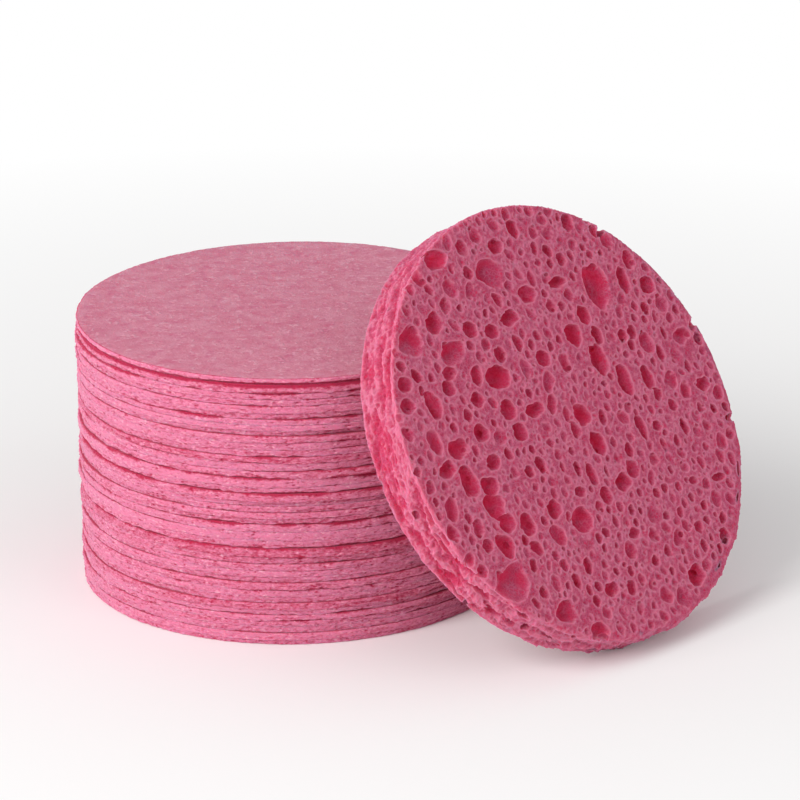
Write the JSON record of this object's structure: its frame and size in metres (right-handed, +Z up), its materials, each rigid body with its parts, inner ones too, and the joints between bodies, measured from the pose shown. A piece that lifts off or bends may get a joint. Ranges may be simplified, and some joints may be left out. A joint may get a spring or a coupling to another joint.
{
  "type": "compressed facial sponge set",
  "caption": "Pile of thin pressed round cellulose facial sponges with one swollen, open-pored sponge leaning on it.",
  "frame": {"origin": "centre of the pile's underside, on the table", "axes": "+Z up; -Y towards the picture's camera, +X to its right, where the expanded sponge leans"},
  "size_m": [0.1071, 0.0915, 0.0652],
  "materials": {
    "pressed_cellulose": "dry matt pressed cellulose, pale fibres over dusty pink",
    "open_cell_cellulose": "matt open-cell cellulose, pale pink cell walls with deeper pink pores"
  },
  "bodies": {
    "bottom_disc": {"compressed_disc_01": "pressed_cellulose"},
    "disc_02": {"compressed_disc_02": "pressed_cellulose"},
    "disc_03": {"compressed_disc_03": "pressed_cellulose"},
    "disc_04": {"compressed_disc_04": "pressed_cellulose"},
    "disc_05": {"compressed_disc_05": "pressed_cellulose"},
    "disc_06": {"compressed_disc_06": "pressed_cellulose"},
    "disc_07": {"compressed_disc_07": "pressed_cellulose"},
    "disc_08": {"compressed_disc_08": "pressed_cellulose"},
    "disc_09": {"compressed_disc_09": "pressed_cellulose"},
    "disc_10": {"compressed_disc_10": "pressed_cellulose"},
    "disc_11": {"compressed_disc_11": "pressed_cellulose"},
    "disc_12": {"compressed_disc_12": "pressed_cellulose"},
    "disc_13": {"compressed_disc_13": "pressed_cellulose"},
    "disc_14": {"compressed_disc_14": "pressed_cellulose"},
    "disc_15": {"compressed_disc_15": "pressed_cellulose"},
    "disc_16": {"compressed_disc_16": "pressed_cellulose"},
    "disc_17": {"compressed_disc_17": "pressed_cellulose"},
    "disc_18": {"compressed_disc_18": "pressed_cellulose"},
    "disc_19": {"compressed_disc_19": "pressed_cellulose"},
    "disc_20": {"compressed_disc_20": "pressed_cellulose"},
    "disc_21": {"compressed_disc_21": "pressed_cellulose"},
    "disc_22": {"compressed_disc_22": "pressed_cellulose"},
    "disc_23": {"compressed_disc_23": "pressed_cellulose"},
    "disc_24": {"compressed_disc_24": "pressed_cellulose"},
    "disc_25": {"compressed_disc_25": "pressed_cellulose"},
    "disc_26": {"compressed_disc_26": "pressed_cellulose"},
    "disc_27": {"compressed_disc_27": "pressed_cellulose"},
    "disc_28": {"compressed_disc_28": "pressed_cellulose"},
    "disc_29": {"compressed_disc_29": "pressed_cellulose"},
    "disc_30": {"compressed_disc_30": "pressed_cellulose"},
    "disc_31": {"compressed_disc_31": "pressed_cellulose"},
    "disc_32": {"compressed_disc_32": "pressed_cellulose"},
    "disc_33": {"compressed_disc_33": "pressed_cellulose"},
    "disc_34": {"compressed_disc_34": "pressed_cellulose"},
    "disc_35": {"compressed_disc_35": "pressed_cellulose"},
    "disc_36": {"compressed_disc_36": "pressed_cellulose"},
    "disc_37": {"compressed_disc_37": "pressed_cellulose"},
    "disc_38": {"compressed_disc_38": "pressed_cellulose"},
    "disc_39": {"compressed_disc_39": "pressed_cellulose"},
    "top_disc": {"compressed_disc_40": "pressed_cellulose"},
    "expanded_sponge": {"expanded_sponge": "open_cell_cellulose"}
  },
  "joints": [
    {"name": "expanded_sponge_lift", "type": "slide", "parent": "bottom_disc", "child": "expanded_sponge", "axis": [0.6204, -0.5928, 0.5135], "range_m": [0, 0.045]},
    {"name": "lift_top_disc", "type": "slide", "parent": "bottom_disc", "child": "top_disc", "axis": [-0.5112, 0.4885, 0.7071], "range_m": [0, 0.075]},
    {"name": "slide_02", "type": "slide", "parent": "bottom_disc", "child": "disc_02", "axis": [0.4802, 0.8771, 0], "range_m": [0, 0.03]},
    {"name": "slide_03", "type": "slide", "parent": "bottom_disc", "child": "disc_03", "axis": [0.417, 0.9089, 0], "range_m": [0, 0.03]},
    {"name": "slide_04", "type": "slide", "parent": "bottom_disc", "child": "disc_04", "axis": [0.3517, 0.9361, 0], "range_m": [0, 0.03]},
    {"name": "slide_05", "type": "slide", "parent": "bottom_disc", "child": "disc_05", "axis": [0.2846, 0.9586, 0], "range_m": [0, 0.03]},
    {"name": "slide_06", "type": "slide", "parent": "bottom_disc", "child": "disc_06", "axis": [0.2162, 0.9764, 0], "range_m": [0, 0.03]},
    {"name": "slide_07", "type": "slide", "parent": "bottom_disc", "child": "disc_07", "axis": [0.1466, 0.9892, 0], "range_m": [0, 0.03]},
    {"name": "slide_08", "type": "slide", "parent": "bottom_disc", "child": "disc_08", "axis": [0.0763, 0.9971, 0], "range_m": [0, 0.03]},
    {"name": "slide_09", "type": "slide", "parent": "bottom_disc", "child": "disc_09", "axis": [0.0056, 1, 0], "range_m": [0, 0.03]},
    {"name": "slide_10", "type": "slide", "parent": "bottom_disc", "child": "disc_10", "axis": [-0.0651, 0.9979, 0], "range_m": [0, 0.03]},
    {"name": "slide_11", "type": "slide", "parent": "bottom_disc", "child": "disc_11", "axis": [-0.1355, 0.9908, 0], "range_m": [0, 0.03]},
    {"name": "slide_12", "type": "slide", "parent": "bottom_disc", "child": "disc_12", "axis": [-0.2052, 0.9787, 0], "range_m": [0, 0.03]},
    {"name": "slide_13", "type": "slide", "parent": "bottom_disc", "child": "disc_13", "axis": [-0.2739, 0.9618, 0], "range_m": [0, 0.03]},
    {"name": "slide_14", "type": "slide", "parent": "bottom_disc", "child": "disc_14", "axis": [-0.3412, 0.94, 0], "range_m": [0, 0.03]},
    {"name": "slide_15", "type": "slide", "parent": "bottom_disc", "child": "disc_15", "axis": [-0.4068, 0.9135, 0], "range_m": [0, 0.03]},
    {"name": "slide_16", "type": "slide", "parent": "bottom_disc", "child": "disc_16", "axis": [-0.4703, 0.8825, 0], "range_m": [0, 0.03]},
    {"name": "slide_17", "type": "slide", "parent": "bottom_disc", "child": "disc_17", "axis": [-0.5316, 0.847, 0], "range_m": [0, 0.03]},
    {"name": "slide_18", "type": "slide", "parent": "bottom_disc", "child": "disc_18", "axis": [-0.5901, 0.8073, 0], "range_m": [0, 0.03]},
    {"name": "slide_19", "type": "slide", "parent": "bottom_disc", "child": "disc_19", "axis": [-0.6457, 0.7636, 0], "range_m": [0, 0.03]},
    {"name": "slide_20", "type": "slide", "parent": "bottom_disc", "child": "disc_20", "axis": [-0.6981, 0.716, 0], "range_m": [0, 0.03]},
    {"name": "slide_21", "type": "slide", "parent": "bottom_disc", "child": "disc_21", "axis": [-0.747, 0.6649, 0], "range_m": [0, 0.03]},
    {"name": "slide_22", "type": "slide", "parent": "bottom_disc", "child": "disc_22", "axis": [-0.7921, 0.6104, 0], "range_m": [0, 0.03]},
    {"name": "slide_23", "type": "slide", "parent": "bottom_disc", "child": "disc_23", "axis": [-0.8333, 0.5529, 0], "range_m": [0, 0.03]},
    {"name": "slide_24", "type": "slide", "parent": "bottom_disc", "child": "disc_24", "axis": [-0.8703, 0.4926, 0], "range_m": [0, 0.03]},
    {"name": "slide_25", "type": "slide", "parent": "bottom_disc", "child": "disc_25", "axis": [-0.9029, 0.4298, 0], "range_m": [0, 0.03]},
    {"name": "slide_26", "type": "slide", "parent": "bottom_disc", "child": "disc_26", "axis": [-0.931, 0.3649, 0], "range_m": [0, 0.03]},
    {"name": "slide_27", "type": "slide", "parent": "bottom_disc", "child": "disc_27", "axis": [-0.9545, 0.2982, 0], "range_m": [0, 0.03]},
    {"name": "slide_28", "type": "slide", "parent": "bottom_disc", "child": "disc_28", "axis": [-0.9732, 0.23, 0], "range_m": [0, 0.03]},
    {"name": "slide_29", "type": "slide", "parent": "bottom_disc", "child": "disc_29", "axis": [-0.987, 0.1606, 0], "range_m": [0, 0.03]},
    {"name": "slide_30", "type": "slide", "parent": "bottom_disc", "child": "disc_30", "axis": [-0.9959, 0.0904, 0], "range_m": [0, 0.03]},
    {"name": "slide_31", "type": "slide", "parent": "bottom_disc", "child": "disc_31", "axis": [-0.9998, 0.0198, 0], "range_m": [0, 0.03]},
    {"name": "slide_32", "type": "slide", "parent": "bottom_disc", "child": "disc_32", "axis": [-0.9987, -0.051, 0], "range_m": [0, 0.03]},
    {"name": "slide_33", "type": "slide", "parent": "bottom_disc", "child": "disc_33", "axis": [-0.9926, -0.1214, 0], "range_m": [0, 0.03]},
    {"name": "slide_34", "type": "slide", "parent": "bottom_disc", "child": "disc_34", "axis": [-0.9815, -0.1913, 0], "range_m": [0, 0.03]},
    {"name": "slide_35", "type": "slide", "parent": "bottom_disc", "child": "disc_35", "axis": [-0.9655, -0.2602, 0], "range_m": [0, 0.03]},
    {"name": "slide_36", "type": "slide", "parent": "bottom_disc", "child": "disc_36", "axis": [-0.9447, -0.3278, 0], "range_m": [0, 0.03]},
    {"name": "slide_37", "type": "slide", "parent": "bottom_disc", "child": "disc_37", "axis": [-0.9192, -0.3938, 0], "range_m": [0, 0.03]},
    {"name": "slide_38", "type": "slide", "parent": "bottom_disc", "child": "disc_38", "axis": [-0.889, -0.4578, 0], "range_m": [0, 0.03]},
    {"name": "slide_39", "type": "slide", "parent": "bottom_disc", "child": "disc_39", "axis": [-0.8545, -0.5195, 0], "range_m": [0, 0.03]}
  ]
}
